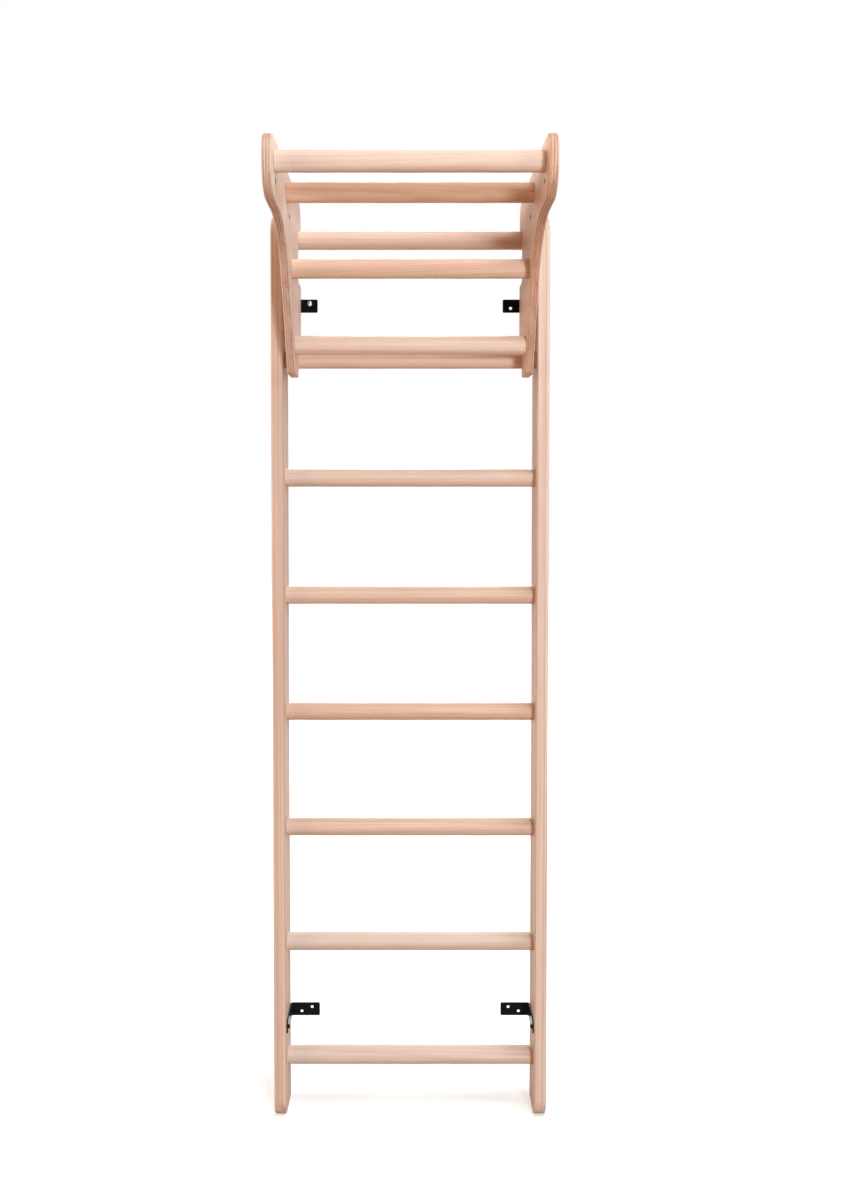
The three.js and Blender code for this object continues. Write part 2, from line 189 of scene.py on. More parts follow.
def buildWoodFigure():
    tree, given, made = newGroup(
        "woodFigure",
        [("Point", "Vector"), ("Tone", "Float"), ("Warmth", "Float"), ("Ring Gap", "Float"),
         ("Ring Depth", "Float"), ("Fibre Depth", "Float"), ("Fleck Depth", "Float"), ("Streak Depth", "Float"),
         ("Mark Depth", "Float"), ("Pale", "Color"), ("Warm", "Color"), ("Dark", "Color")],
        [("Color", "Color"), ("Roughness", "Float"), ("Height", "Float")])
    point = given["Point"]
    wander = calc(tree, "SUBTRACT", cloud(tree, point, woodLook["wanderScale"], 3.0), 0.5)
    heart = vectorCalc(tree, "LENGTH", vectorCalc(tree, "MULTIPLY", point, (1.0, 1.0, 0.0)))
    radius = calc(tree, "MULTIPLY_ADD", wander, woodLook["ringWander"], heart)
    turn = calc(tree, "DIVIDE", radius, given["Ring Gap"])
    share = calc(tree, "FRACT", turn)
    late = calc(tree, "MULTIPLY", ease(tree, share, 0.25, 0.9), ease(tree, share, 0.93, 1.0, 1.0, 0.0))
    year = tree.nodes.new("ShaderNodeTexWhiteNoise")
    year.noise_dimensions = "1D"
    feed(tree, year.inputs["W"], calc(tree, "FLOOR", turn))
    ring = calc(tree, "MULTIPLY", late, calc(tree, "MULTIPLY_ADD", year.outputs["Value"], 0.65, 0.35))
    band = ease(tree, cloud(tree, point, woodLook["bandScale"], 2.0), 0.28, 0.72)
    fibre = ease(tree, cloud(tree, point, woodLook["fibreScale"], 4.0, 0.62), 0.4, 0.78)
    fleck = ease(tree, cloud(tree, point, woodLook["fleckScale"], 1.0), *woodLook["fleckLimit"])
    mark = ease(tree, cloud(tree, point, woodLook["markScale"], 2.0), *woodLook["markLimit"])
    streak = ease(tree, cloud(tree, point, woodLook["streakScale"], 2.0), 0.3, 0.7, -0.5, 0.5)
    streak = calc(tree, "MULTIPLY", streak, given["Streak Depth"])
    colour = blendColour(tree, band, given["Pale"], given["Warm"])
    colour = blendColour(tree, calc(tree, "MULTIPLY", ring, given["Ring Depth"]), colour, given["Dark"])
    colour = blendColour(tree, calc(tree, "MULTIPLY", fibre, given["Fibre Depth"]), colour, given["Dark"])
    colour = blendColour(tree, calc(tree, "MULTIPLY", fleck, given["Fleck Depth"]), colour, given["Dark"])
    colour = blendColour(tree, calc(tree, "MULTIPLY", mark, given["Mark Depth"]), colour, given["Dark"])
    shade = tree.nodes.new("ShaderNodeHueSaturation")  # a pale streak is greyer, a dark one warmer
    feed(tree, shade.inputs["Color"], colour)
    feed(tree, shade.inputs["Value"], calc(tree, "ADD", calc(tree, "ADD", given["Tone"], 1.0), streak))
    warmth = calc(tree, "MULTIPLY_ADD", streak, -1.1, calc(tree, "ADD", given["Warmth"], 1.0))
    feed(tree, shade.inputs["Saturation"], warmth)
    feed(tree, made["Color"], shade.outputs["Color"])
    rough = calc(tree, "MULTIPLY_ADD", fibre, 0.12, calc(tree, "MULTIPLY_ADD", ring, -0.06, 0.5))
    feed(tree, made["Roughness"], rough)
    height = calc(tree, "MULTIPLY_ADD", fibre, -0.5, calc(tree, "MULTIPLY", ring, 0.5))
    feed(tree, made["Height"], calc(tree, "MULTIPLY_ADD", fleck, -0.8, height))
    return tree


woodFigure = buildWoodFigure()


def buildWood(name, look):
    material, tree, shader = newMaterial(name, **{"Specular IOR Level": 0.16})
    figure = placeGroup(tree, woodFigure, Point=pieceValue(tree, "woodPoint", "Vector"),
                        Tone=pieceValue(tree, "toneAndShade"), Warmth=pieceValue(tree, "warmthAndShade"), **look)
    tree.links.new(figure["Color"], shader.inputs["Base Color"])
    tree.links.new(figure["Roughness"], shader.inputs["Roughness"])
    tree.links.new(reliefNormal(tree, figure["Height"], 0.3, 0.0002), shader.inputs["Normal"])
    return material


pineLook = {
    "Ring Gap": 0.0048, "Ring Depth": 0.4, "Fibre Depth": 0.22, "Fleck Depth": 0.12, "Streak Depth": 0.24,
    "Mark Depth": 0.1,
    "Pale": (0.75, 0.565, 0.47, 1.0), "Warm": (0.7, 0.495, 0.395, 1.0), "Dark": (0.5, 0.29, 0.21, 1.0),
}
beechLook = {
    "Ring Gap": 0.0056, "Ring Depth": 0.28, "Fibre Depth": 0.2, "Fleck Depth": 0.4, "Streak Depth": 0.1,
    "Mark Depth": 0.5,
    "Pale": (0.75, 0.575, 0.485, 1.0), "Warm": (0.715, 0.52, 0.42, 1.0), "Dark": (0.52, 0.31, 0.21, 1.0),
}
pineWood = buildWood("pineWood", pineLook)
beechWood = buildWood("beechWood", beechLook)
print("wood finishes built")


# Plywood: plies across the thickness, every second one with its grain turned, glue lines between them and a few
# small gaps in the inner plies

plyLook = {
    "plies": 7, "inner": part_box("side_plate_right")[0].x, "outer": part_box("side_plate_right")[1].x,
    "glueWidth": 0.05,  # share of a ply
    "endGrain": (0.46, 0.24, 0.16, 1.0), "glue": (0.3, 0.15, 0.1, 1.0),
    "patchScale": (90.0, 24.0, 24.0), "endShare": (0.48, 0.92),  # how strongly the end grain shows, in patches
    "gapScale": (480.0, 75.0, 75.0), "gapLimit": (0.665, 0.73), "gap": (0.13, 0.055, 0.035, 1.0),
    "face": {
        "Ring Gap": 0.0085, "Ring Depth": 0.24, "Fibre Depth": 0.2, "Fleck Depth": 0.3, "Streak Depth": 0.08,
        "Mark Depth": 0.3,
        "Pale": (0.78, 0.595, 0.495, 1.0), "Warm": (0.74, 0.54, 0.43, 1.0), "Dark": (0.53, 0.32, 0.23, 1.0),
    },
}


def buildPlyLayers():
    tree, given, made = newGroup(
        "plyLayers", [("Point", "Vector"), ("Normal", "Vector")],
        [("Turned", "Float"), ("End Grain", "Float"), ("Glue", "Float"), ("Gap", "Float")])
    plies = plyLook["plies"]
    spread = tree.nodes.new("ShaderNodeSeparateXYZ")
    feed(tree, spread.inputs[0], given["Point"])
    depth = calc(tree, "SUBTRACT", calc(tree, "ABSOLUTE", spread.outputs["X"]), plyLook["inner"])
    level = calc(tree, "DIVIDE", depth, (plyLook["outer"] - plyLook["inner"]) / plies)
    ply = calc(tree, "MINIMUM", calc(tree, "MAXIMUM", calc(tree, "FLOOR", level), 0.0), plies - 1.0)
    turned = calc(tree, "MODULO", ply, 2.0)
    facing = tree.nodes.new("ShaderNodeSeparateXYZ")
    feed(tree, facing.inputs[0], vectorCalc(tree, "ABSOLUTE", given["Normal"]))
    back = calc(tree, "SUBTRACT", 1.0, turned)
    end = calc(tree, "ADD", calc(tree, "MULTIPLY", facing.outputs["Y"], turned),
               calc(tree, "MULTIPLY", facing.outputs["Z"], back))
    joint = calc(tree, "ABSOLUTE", calc(tree, "SUBTRACT", level, calc(tree, "ROUND", level)))
    inside = calc(tree, "MULTIPLY", calc(tree, "GREATER_THAN", level, 0.5),
                  calc(tree, "LESS_THAN", level, plies - 0.5))
    glue = ease(tree, joint, plyLook["glueWidth"], 2 * plyLook["glueWidth"], 1.0, 0.0)
    feed(tree, made["Turned"], turned)
    feed(tree, made["End Grain"], ease(tree, end, 0.15, 0.9))
    feed(tree, made["Glue"], calc(tree, "MULTIPLY", glue, inside))
    gap = ease(tree, cloud(tree, given["Point"], plyLook["gapScale"], 2.0), *plyLook["gapLimit"])
    feed(tree, made["Gap"], calc(tree, "MULTIPLY", gap, inside))
    return tree


plyLayers = buildPlyLayers()


def buildPlywood():
    material, tree, shader = newMaterial("birchPlywood", **{"Specular IOR Level": 0.16})
    place = tree.nodes.new("ShaderNodeTexCoord").outputs["Object"]
    normal = tree.nodes.new("ShaderNodeNewGeometry").outputs["Normal"]
    layers = placeGroup(tree, plyLayers, Point=place, Normal=normal)
    along = pieceValue(tree, "woodPoint", "Vector")
    spread = tree.nodes.new("ShaderNodeSeparateXYZ")
    feed(tree, spread.inputs[0], along)
    across = tree.nodes.new("ShaderNodeCombineXYZ")
    for label, source in zip(("X", "Y", "Z"), ("X", "Z", "Y")):
        tree.links.new(spread.outputs[source], across.inputs[label])
    grain = blendVector(tree, layers["Turned"], along, across.outputs[0])
    figure = placeGroup(tree, woodFigure, Point=grain, Tone=pieceValue(tree, "toneAndShade"),
                        Warmth=pieceValue(tree, "warmthAndShade"), **plyLook["face"])
    patchy = ease(tree, cloud(tree, place, plyLook["patchScale"], 2.0), 0.36, 0.64, *plyLook["endShare"])
    colour = blendColour(tree, calc(tree, "MULTIPLY", layers["End Grain"], patchy), figure["Color"],
                         plyLook["endGrain"])
    colour = blendColour(tree, calc(tree, "MULTIPLY", layers["Glue"], 0.7), colour, plyLook["glue"])
    colour = blendColour(tree, layers["Gap"], colour, plyLook["gap"])
    tree.links.new(colour, shader.inputs["Base Color"])
    rough = calc(tree, "MULTIPLY_ADD", layers["End Grain"], 0.12, figure["Roughness"])
    tree.links.new(rough, shader.inputs["Roughness"])
    relief = calc(tree, "MULTIPLY_ADD", layers["Glue"], -0.8, figure["Height"])
    relief = calc(tree, "MULTIPLY_ADD", layers["Gap"], -2.0, relief)
    tree.links.new(reliefNormal(tree, relief, 0.3, 0.0002), shader.inputs["Normal"])
    return material


birchPlywood = buildPlywood()
print("plywood built")


# Metal: a fine grainy surface shared by the black coating and the zinc

def buildMetalGrain():
    tree, given, made = newGroup(
        "metalGrain", [("Point", "Vector"), ("Grain", "Float"), ("Base", "Color"), ("Worn", "Color"),
                       ("Rough", "Float")],
        [("Color", "Color"), ("Roughness", "Float"), ("Height", "Float")])
    fine = cloud(tree, given["Point"], (2600.0, 2600.0, 2600.0), 2.0)
    broad = cloud(tree, given["Point"], (160.0, 160.0, 160.0), 3.0)
    worn = ease(tree, broad, 0.52, 0.75)
    feed(tree, made["Color"], blendColour(tree, calc(tree, "MULTIPLY", worn, given["Grain"]), given["Base"],
                                          given["Worn"]))
    feed(tree, made["Roughness"], calc(tree, "MULTIPLY_ADD", broad, 0.18, given["Rough"]))
    feed(tree, made["Height"], fine)
    return tree


metalGrain = buildMetalGrain()


metalLooks = {
    "blackCoat": {"metallic": 0.0, "specular": 0.06, "relief": 0.2,
                  "grain": {"Grain": 0.6, "Base": (0.004, 0.0037, 0.0036, 1.0), "Worn": (0.01, 0.0093, 0.0086, 1.0),
                            "Rough": 0.12}},
    "brightZinc": {"metallic": 1.0, "specular": 0.5, "relief": 0.15,
                   "grain": {"Grain": 0.5, "Base": (0.64, 0.64, 0.62, 1.0), "Worn": (0.5, 0.48, 0.44, 1.0),
                             "Rough": 0.24}},
}


def buildMetal(name, metallic, specular, relief, grain):
    material, tree, shader = newMaterial(name, Metallic=metallic, **{"Specular IOR Level": specular})
    place = tree.nodes.new("ShaderNodeTexCoord").outputs["Object"]
    grained = placeGroup(tree, metalGrain, Point=place, **grain)
    tree.links.new(grained["Color"], shader.inputs["Base Color"])
    tree.links.new(grained["Roughness"], shader.inputs["Roughness"])
    tree.links.new(reliefNormal(tree, grained["Height"], relief, 0.00005), shader.inputs["Normal"])
    return material


blackCoat = buildMetal("blackCoat", **metalLooks["blackCoat"])
brightZinc = buildMetal("brightZinc", **metalLooks["brightZinc"])
print("metal finishes built")


# Mesh helpers

weldStep = 1.37e-6  # metres: points closer than this are one
boreShadeTone = -0.9  # painted shade: the wall of a strap hole and a thin ring round its mouth are darkened where light does not reach in


def ringQuads(rings, perRing):  # quads between neighbouring closed rings of points
    ring, spot = np.meshgrid(np.arange(rings - 1), np.arange(perRing), indexing="ij")
    after = (spot + 1) % perRing
    corners = (ring * perRing + spot, ring * perRing + after, (ring + 1) * perRing + after,
               (ring + 1) * perRing + spot)
    return np.stack(corners, -1).reshape(-1, 4)


def circle(count, phase=0.0):
    angle = np.linspace(0.0, 2 * math.pi, count, endpoint=False) + phase
    return np.stack([np.cos(angle), np.sin(angle)], -1)


def gather(patches):  # patches (points, faces) as one point array and a list of face arrays
    points, faces, first = [], [], 0
    for patchPoints, patchFaces in patches:
        points.append(patchPoints)
        faces.append(patchFaces + first)
        first += len(patchPoints)
    return np.concatenate(points), faces


def weld(points, faces):  # one point for each spot; a face that loses a corner becomes a triangle
    _, keep, spot = np.unique(np.round(points / weldStep), axis=0, return_index=True, return_inverse=True)
    kept = []
    for face in faces:
        corners = spot.ravel()[face]
        same = corners == np.roll(corners, -1, axis=1)
        lost = same.sum(axis=1)
        kept += corners[lost == 0].tolist()
        if corners.shape[1] == 4:
            thinned = lost == 1
            kept += corners[thinned][~same[thinned]].reshape(-1, 3).tolist()
    return points[keep], kept


def addPiece(name, patches, node, material, sharp=32.0, wood=None):
    points, faces = weld(*gather(patches))
    mesh = bpy.data.meshes.new(name)
    mesh.from_pydata(points.tolist(), [], faces)
    shell = bmesh.new()
    shell.from_mesh(mesh)
    bmesh.ops.recalc_face_normals(shell, faces=shell.faces)
    shell.to_mesh(mesh)
    shell.free()
    mesh.shade_smooth()
    mesh.set_sharp_from_angle(angle=math.radians(sharp))
    mesh.materials.append(material)
    if wood is not None:
        place = np.empty(len(mesh.vertices) * 3)
        mesh.vertices.foreach_get("co", place)
        grain = mesh.attributes.new("woodPoint", "FLOAT_VECTOR", "POINT")
        grain.data.foreach_set("vector", (place.reshape(-1, 3) @ wood["turn"].T + wood["shift"]).ravel())
        # painted shade in the strap holes is added to the piece's tone
        inShadedBore = wood["inShadedBore"](place.reshape(-1, 3)) if "inShadedBore" in wood else 0.0
        tone = mesh.attributes.new("toneAndShade", "FLOAT", "POINT")
        tone.data.foreach_set("value", wood["tone"] + boreShadeTone * inShadedBore + np.zeros(len(mesh.vertices)))
        warmth = mesh.attributes.new("warmthAndShade", "FLOAT", "POINT")
        warmth.data.foreach_set("value", np.full(len(mesh.vertices), wood["warmth"]))
    piece = bpy.data.objects.new(name, mesh)
    bpy.context.scene.collection.objects.link(piece)
    even = piece.modifiers.new("evenShading", "WEIGHTED_NORMAL")
    even.keep_sharp = True
    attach(piece, frame["nodes"][node]["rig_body"])
    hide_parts(node)
    return piece


def nodeBox(node):
    low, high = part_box(node)
    return np.array(low), np.array(high)


# Wood space: the piece's own length lies along Z, and the heart of the tree lies beside the piece
def woodSpace(centre, lengthAxis, heartReach, lean, tone=0.0, warmth=0.0):
    order = {"x": (1, 2, 0), "z": (0, 1, 2)}[lengthAxis]
    turn = np.eye(3)[list(order)]
    turn[0] += chance.uniform(-lean, lean) * turn[2]
    turn[1] += chance.uniform(-lean, lean) * turn[2]
    bearing = chance.uniform(0.0, 2 * math.pi)
    reach = chance.uniform(*heartReach)
    heart = np.array([reach * math.cos(bearing), reach * math.sin(bearing), chance.uniform(0.0, 20.0)])
    return {"turn": turn, "shift": heart - turn @ centre, "tone": tone, "warmth": warmth}


# Outline through corners (x, y, radius), anticlockwise: each corner is an arc tangent to both its edges.
# Gives the points and their outward normals.
def roundedOutline(corners, arcStep=math.radians(5)):
    points, normals = [], []
    for i, (x, y, radius) in enumerate(corners):
        corner = np.array([x, y])
        back = np.array(corners[i - 1][:2]) - corner
        ahead = np.array(corners[(i + 1) % len(corners)][:2]) - corner
        back /= np.linalg.norm(back)
        ahead /= np.linalg.norm(ahead)
        outBack = math.atan2(back[0], -back[1])
        bend = math.copysign(1.0, back[1] * ahead[0] - back[0] * ahead[1])
        half = math.acos(np.clip(back @ ahead, -1.0, 1.0)) / 2
        turn = bend * (math.pi - 2 * half)
        steps = max(2, math.ceil(abs(turn) / arcStep)) if radius else 0
        angle = outBack + turn * (np.linspace(0.0, 1.0, steps + 1) if radius else np.array([0.5]))
        normal = np.stack([np.cos(angle), np.sin(angle)], -1)
        centre = corner
        if radius:
            middle = (back + ahead) / np.linalg.norm(back + ahead)
            centre = corner + middle * radius / math.sin(half)
        points.append(centre + bend * radius * normal)
        normals.append(normal)
    points, normals = np.concatenate(points), np.concatenate(normals)
    apart = np.linalg.norm(points - np.roll(points, -1, axis=0), axis=1) > weldStep
    return points[apart], normals[apart]


# Flat face between an outer loop and round holes, cut into triangles. Ribs are extra edges across it.
def flatFace(loop, holes, level, ribs):
    loops = [loop] + [hole["centre"] + hole["radius"] * circle(hole["facets"]) for hole in holes]
    firsts = np.cumsum([0] + [len(one) for one in loops])
    edges = [np.stack([np.arange(len(one)), np.roll(np.arange(len(one)), -1)], -1) + first
             for one, first in zip(loops, firsts)]
    edges = np.concatenate(edges).tolist() + list(ribs)
    spots = np.concatenate(loops)
    made = delaunay_2d_cdt([Vector(spot) for spot in spots], edges, [], 1, 1e-9)
    spots, triangles = np.array(made[0]), np.array(made[2])
    middle = spots[triangles].mean(axis=1)
    for hole in holes:
        outside = np.linalg.norm(middle - hole["centre"], axis=1) > hole["radius"]
        triangles, middle = triangles[outside], middle[outside]
    return np.column_stack([spots, np.full(len(spots), level)]), triangles


# Board in its own (u, v, w): the outline is carried round a quarter circle at each face, w runs through the
# thickness, and each hole is a stack of rings (radius, w) that starts on a face and ends on the other one or
# on its own axis. Where the outline says so, a point moves in from the edge by its own step instead of along
# its normal, which leaves a sawn end sharp.
def boardPatches(outline, inward, thickness, edge, holes, edgeSteps=6, ribs=()):
    quarter = np.linspace(0.0, math.pi / 2, edgeSteps + 1)
    inset = edge * (1 - np.sin(quarter))
    level = edge * (1 - np.cos(quarter))
    inset = np.concatenate([inset, inset[::-1]])
    level = np.concatenate([level, thickness - level[::-1]])
    ring = outline + inset[:, None, None] * inward
    rim = np.concatenate([ring, np.broadcast_to(level[:, None, None], (*ring.shape[:2], 1))], -1)
    patches = [(rim.reshape(-1, 3), ringQuads(len(level), len(outline)))]
    for hole in holes:
        around = circle(hole["facets"])
        stack = np.array(hole["rings"])
        wall = hole["centre"] + stack[:, None, :1] * around
        wall = np.concatenate([wall, np.broadcast_to(stack[:, None, 1:], (*wall.shape[:2], 1))], -1)
        patches.append((wall.reshape(-1, 3), ringQuads(len(stack), hole["facets"])))
    for face, loop in ((0.0, ring[0]), (thickness, ring[-1])):
        open_ = [{**hole, "radius": radius} for hole in holes for radius, w in (hole["rings"][0], hole["rings"][-1])
                 if abs(w - face) < weldStep and radius > 0]
        patches.append(flatFace(loop, open_, face, ribs))
    return patches


def mapped(patches, place):  # the same patches with their points put in place
    return [(place(points), faces) for points, faces in patches]


# Round bars: a profile of (radius, along) turned about X, with a pilot bore in each end. The skin swells and
# hollows a little, as a turned bar does.
barShape = {"around": 72, "stations": 60, "chamfer": 0.6 * mm, "pilot": 2.8 * mm, "swell": 0.09 * mm}


def turnedBar(node, screwTip, look):
    low, high = nodeBox(node)
    centre = (low + high) / 2
    half = (high - low)[0] / 2
    radius = (high - low)[2] / 2
    bore = half - screwTip + 1 * mm
    rim = half - barShape["chamfer"]
    ends = [(0.0, half - bore), (barShape["pilot"], half - bore), (barShape["pilot"], half),
            (radius - barShape["chamfer"], half)]
    along = np.linspace(-rim, rim, barShape["stations"])
    profile = [(r, -x) for r, x in ends] + [(radius, x) for x in along] + ends[::-1]
    profile = np.array(profile)
    angle = np.linspace(0.0, 2 * math.pi, barShape["around"], endpoint=False)
    phase = chance.uniform(0.0, 2 * math.pi, 4)
    x = profile[:, 1:]
    swell = (np.sin(38 * x + 2 * angle + phase[0]) + np.sin(71 * x - angle + phase[1])
             + 0.5 * np.sin(143 * x + 3 * angle + phase[2]))
    swell = np.where(profile[:, :1] >= radius - weldStep, barShape["swell"] * swell, 0.0)
    spread = profile[:, :1] + swell
    points = np.stack([np.broadcast_to(x, spread.shape), spread * np.cos(angle), spread * np.sin(angle)], -1)
    points = points.reshape(-1, 3) + centre
    wood = woodSpace(centre, "x", (0.012, 0.07), **look)
    addPiece(node + "_wood", [(points, ringQuads(len(profile), barShape["around"]))], node, beechWood, wood=wood)


uprightBox = nodeBox("upright_right")
plateBox = nodeBox("side_plate_right")
rungNames = [name for name in frame["nodes"] if name.startswith("rung_") and "screw" not in name]
gripNames = ["front_grip", "middle_grip", "inner_grip", "lower_grip"]
barToneAndLight = {  # each bar's lightness, warmth and grain lean; painted light: the grips, rung_7 and rung_8 are made lighter for the light at the top of the ladder and against the shade the grips cast, and middle_grip warmer for the warm shade it lies in
    "rung_1": {"tone": -0.04, "warmth": -0.26, "lean": 0.03},
    "rung_2": {"tone": -0.03, "warmth": -0.27, "lean": 0.012},
    "rung_3": {"tone": -0.04, "warmth": 0.05, "lean": 0.02},
    "rung_4": {"tone": -0.05, "warmth": 0.17, "lean": 0.02},
    "rung_5": {"tone": 0.0, "warmth": -0.04, "lean": 0.015},
    "rung_6": {"tone": 0.0, "warmth": -0.18, "lean": 0.04},
    "rung_7": {"tone": 0.1, "warmth": -0.08, "lean": 0.02},
    "rung_8": {"tone": 0.06, "warmth": 0.0, "lean": 0.02},
    "front_grip": {"tone": 0.08, "warmth": -0.18, "lean": 0.01},
    "middle_grip": {"tone": 0.0, "warmth": 0.3, "lean": 0.03},
    "inner_grip": {"tone": 0.06, "warmth": 0.09, "lean": 0.08},
    "lower_grip": {"tone": 0.07, "warmth": -0.15, "lean": 0.015},
}
for name in sorted(rungNames):
    turnedBar(name, nodeBox(name.replace("rung_", "rung_screw_") + "_right")[0][0], barToneAndLight[name])
for name in gripNames:
    turnedBar(name, nodeBox(name + "_screw_right")[0][0], barToneAndLight[name])
print("rungs and grips turned:", len(rungNames) + len(gripNames))


# Uprights: a side outline with round front corners, a foot sawn off inside its round, a socket for each rung
# and a screw hole behind it
uprightShape = {
    "endRound": 50 * mm, "footTrim": 10 * mm, "backRound": 5 * mm, "edge": 4 * mm, "socketGap": 0.3 * mm,
    "socketDepth": 14 * mm, "screwHole": 2.8 * mm, "headHole": 5.3 * mm, "headDepth": 2.5 * mm, "pilot": 2.5 * mm,
    "wood": {"left": {"tone": -0.02, "warmth": -0.07}, "right": {"tone": -0.03, "warmth": -0.12}},
}


# The foot's round is an arc about (its radius behind the front, its radius above the untrimmed foot) that stops
# at the floor; at the floor a point moves in along it, so that the sawn end stays flat.
def uprightOutline(depth, height):
    shape = uprightShape
    outline, normals = roundedOutline([
        (-depth, -shape["footTrim"], shape["endRound"]), (0.0, -shape["footTrim"], 0.0),
        (0.0, height, shape["backRound"]), (-depth, height, shape["endRound"])], math.radians(3))
    above = outline[:, 1] > weldStep
    rise = shape["endRound"] - shape["footTrim"]
    footFront = shape["endRound"] - depth - math.sqrt(shape["endRound"] ** 2 - rise ** 2)
    lean = math.atan2(-rise, footFront - shape["endRound"] + depth)
    order = np.argmax(above & ~np.roll(above, 1))
    outline, inward = np.roll(outline, -order, axis=0), np.roll(-normals, -order, axis=0)
    outline, inward = outline[np.roll(above, -order)], inward[np.roll(above, -order)]
    foot = np.array([[footFront, 0.0], [0.0, 0.0]])
    footIn = np.array([[-1.0 / math.cos(lean), 0.0], [-1.0, 0.0]])
    return np.concatenate([outline, foot]), np.concatenate([inward, footIn])


def buildUpright(side, sign):
    node = f"upright_{side}"
    shape = uprightShape
    low, high = uprightBox
    depth, height = (high - low)[1], (high - low)[2]
    thickness = (high - low)[0]
    outline, inward = uprightOutline(depth, height)
    holes = []
    for name in rungNames:
        rungLow, rungHigh = nodeBox(name)
        centre = (rungLow + rungHigh)[1:] / 2
        socket = (rungHigh - rungLow)[2] / 2 + shape["socketGap"]
        floor = shape["socketDepth"]
        holes.append({"centre": centre, "facets": 72, "rings": [
            (socket, 0.0), (socket, floor), (shape["screwHole"], floor),
            (shape["screwHole"], thickness - shape["headDepth"]), (shape["headHole"], thickness)]})
    for name in frame["nodes"]:
        if name.startswith("bracket_") and f"_{side}_screw" in name:
            screwLow, screwHigh = nodeBox(name)
            tip = max(abs(screwLow[0]), abs(screwHigh[0])) - low[0] + 1 * mm
            holes.append({"centre": (screwLow + screwHigh)[1:] / 2, "facets": 24, "rings": [
                (shape["pilot"], 0.0), (shape["pilot"], tip), (0.0, tip)]})
    patches = boardPatches(outline, inward, thickness, shape["edge"], holes)
    patches = mapped(patches, lambda p: np.column_stack([sign * (low[0] + p[:, 2]), p[:, 0], p[:, 1]]))
    middle = (low + high) / 2 * np.array([sign, 1.0, 1.0])
    wood = woodSpace(middle, "z", (0.05, 0.11), 0.006, **shape["wood"][side])
    addPiece(node + "_wood", patches, node, pineWood, wood=wood)


for side, sign in sides.items():
    buildUpright(side, sign)
print("uprights built")


# Side plates: hook slot from the back, step, tip, straight front edge, sweep and round head, as reach forwards
# and rise upwards from the top rung's axis
plateShape = {
    "hookGap": 0.8 * mm, "crownRound": 42 * mm, "lipDrop": 8 * mm, "slotDrop": 94 * mm, "slotRound": 10 * mm,
    "stepGap": 10 * mm, "cornerRound": 8 * mm, "headHeight": 116 * mm, "headTopRound": 40 * mm,
    "sweepReach": 260 * mm, "sweepRound": 200 * mm, "tipWidth": 68 * mm, "tipRound": 16 * mm, "edge": 4 * mm,
    "strapHole": 4.5 * mm, "strapChamfer": 0.15 * mm, "shadeRing": (1.1 * mm, 1.8 * mm),  # painted shade round each strap hole's mouth: where it is fully dark, and where it ends
    "screwHole": 2.8 * mm, "headHole": 5.3 * mm, "headDepth": 2.5 * mm,
    "frontStrap": (10 * mm, 33 * mm),  # behind and below the front grip
    "backStrap": (194 * mm, 83 * mm),  # reach, and below the top edge
    # painted shade: the right plate is made warmer for the warm shade on its inner face
    "wood": {"left": {"tone": 0.0, "warmth": -0.12}, "right": {"tone": -0.02, "warmth": 0.2}},
}


def plateOutline(top, second, low, high):
    shape = plateShape
    axis = (top[0] + top[1])[1:] / 2
    hook = (top[1] - top[0])[2] / 2 + shape["hookGap"]
    back = axis[0] - high[1]
    reach, crown, tip = axis[0] - low[1], high[2] - axis[1], low[2] - axis[1]
    lip = (-back - hook) / 2
    step = (second[1] + second[0])[2] / 2 - axis[1] + hook + shape["stepGap"]
    headFloor, headRound = crown - shape["headHeight"], shape["headHeight"] / 2
    return roundedOutline([
        (back, -shape["lipDrop"], lip), (-hook, -shape["lipDrop"], lip),
        (-hook, hook, hook), (hook, hook, hook),
        (hook, -shape["slotDrop"], shape["slotRound"]), (back, -shape["slotDrop"], shape["slotRound"]),
        (back, step, shape["cornerRound"]), (hook, step, shape["cornerRound"]),
        (hook, tip, shape["cornerRound"]), (hook + shape["tipWidth"], tip, shape["tipRound"]),
        (shape["sweepReach"], headFloor, shape["sweepRound"]),
        (reach, headFloor, headRound), (reach, crown, shape["headTopRound"]),
        (back, crown, shape["crownRound"])])


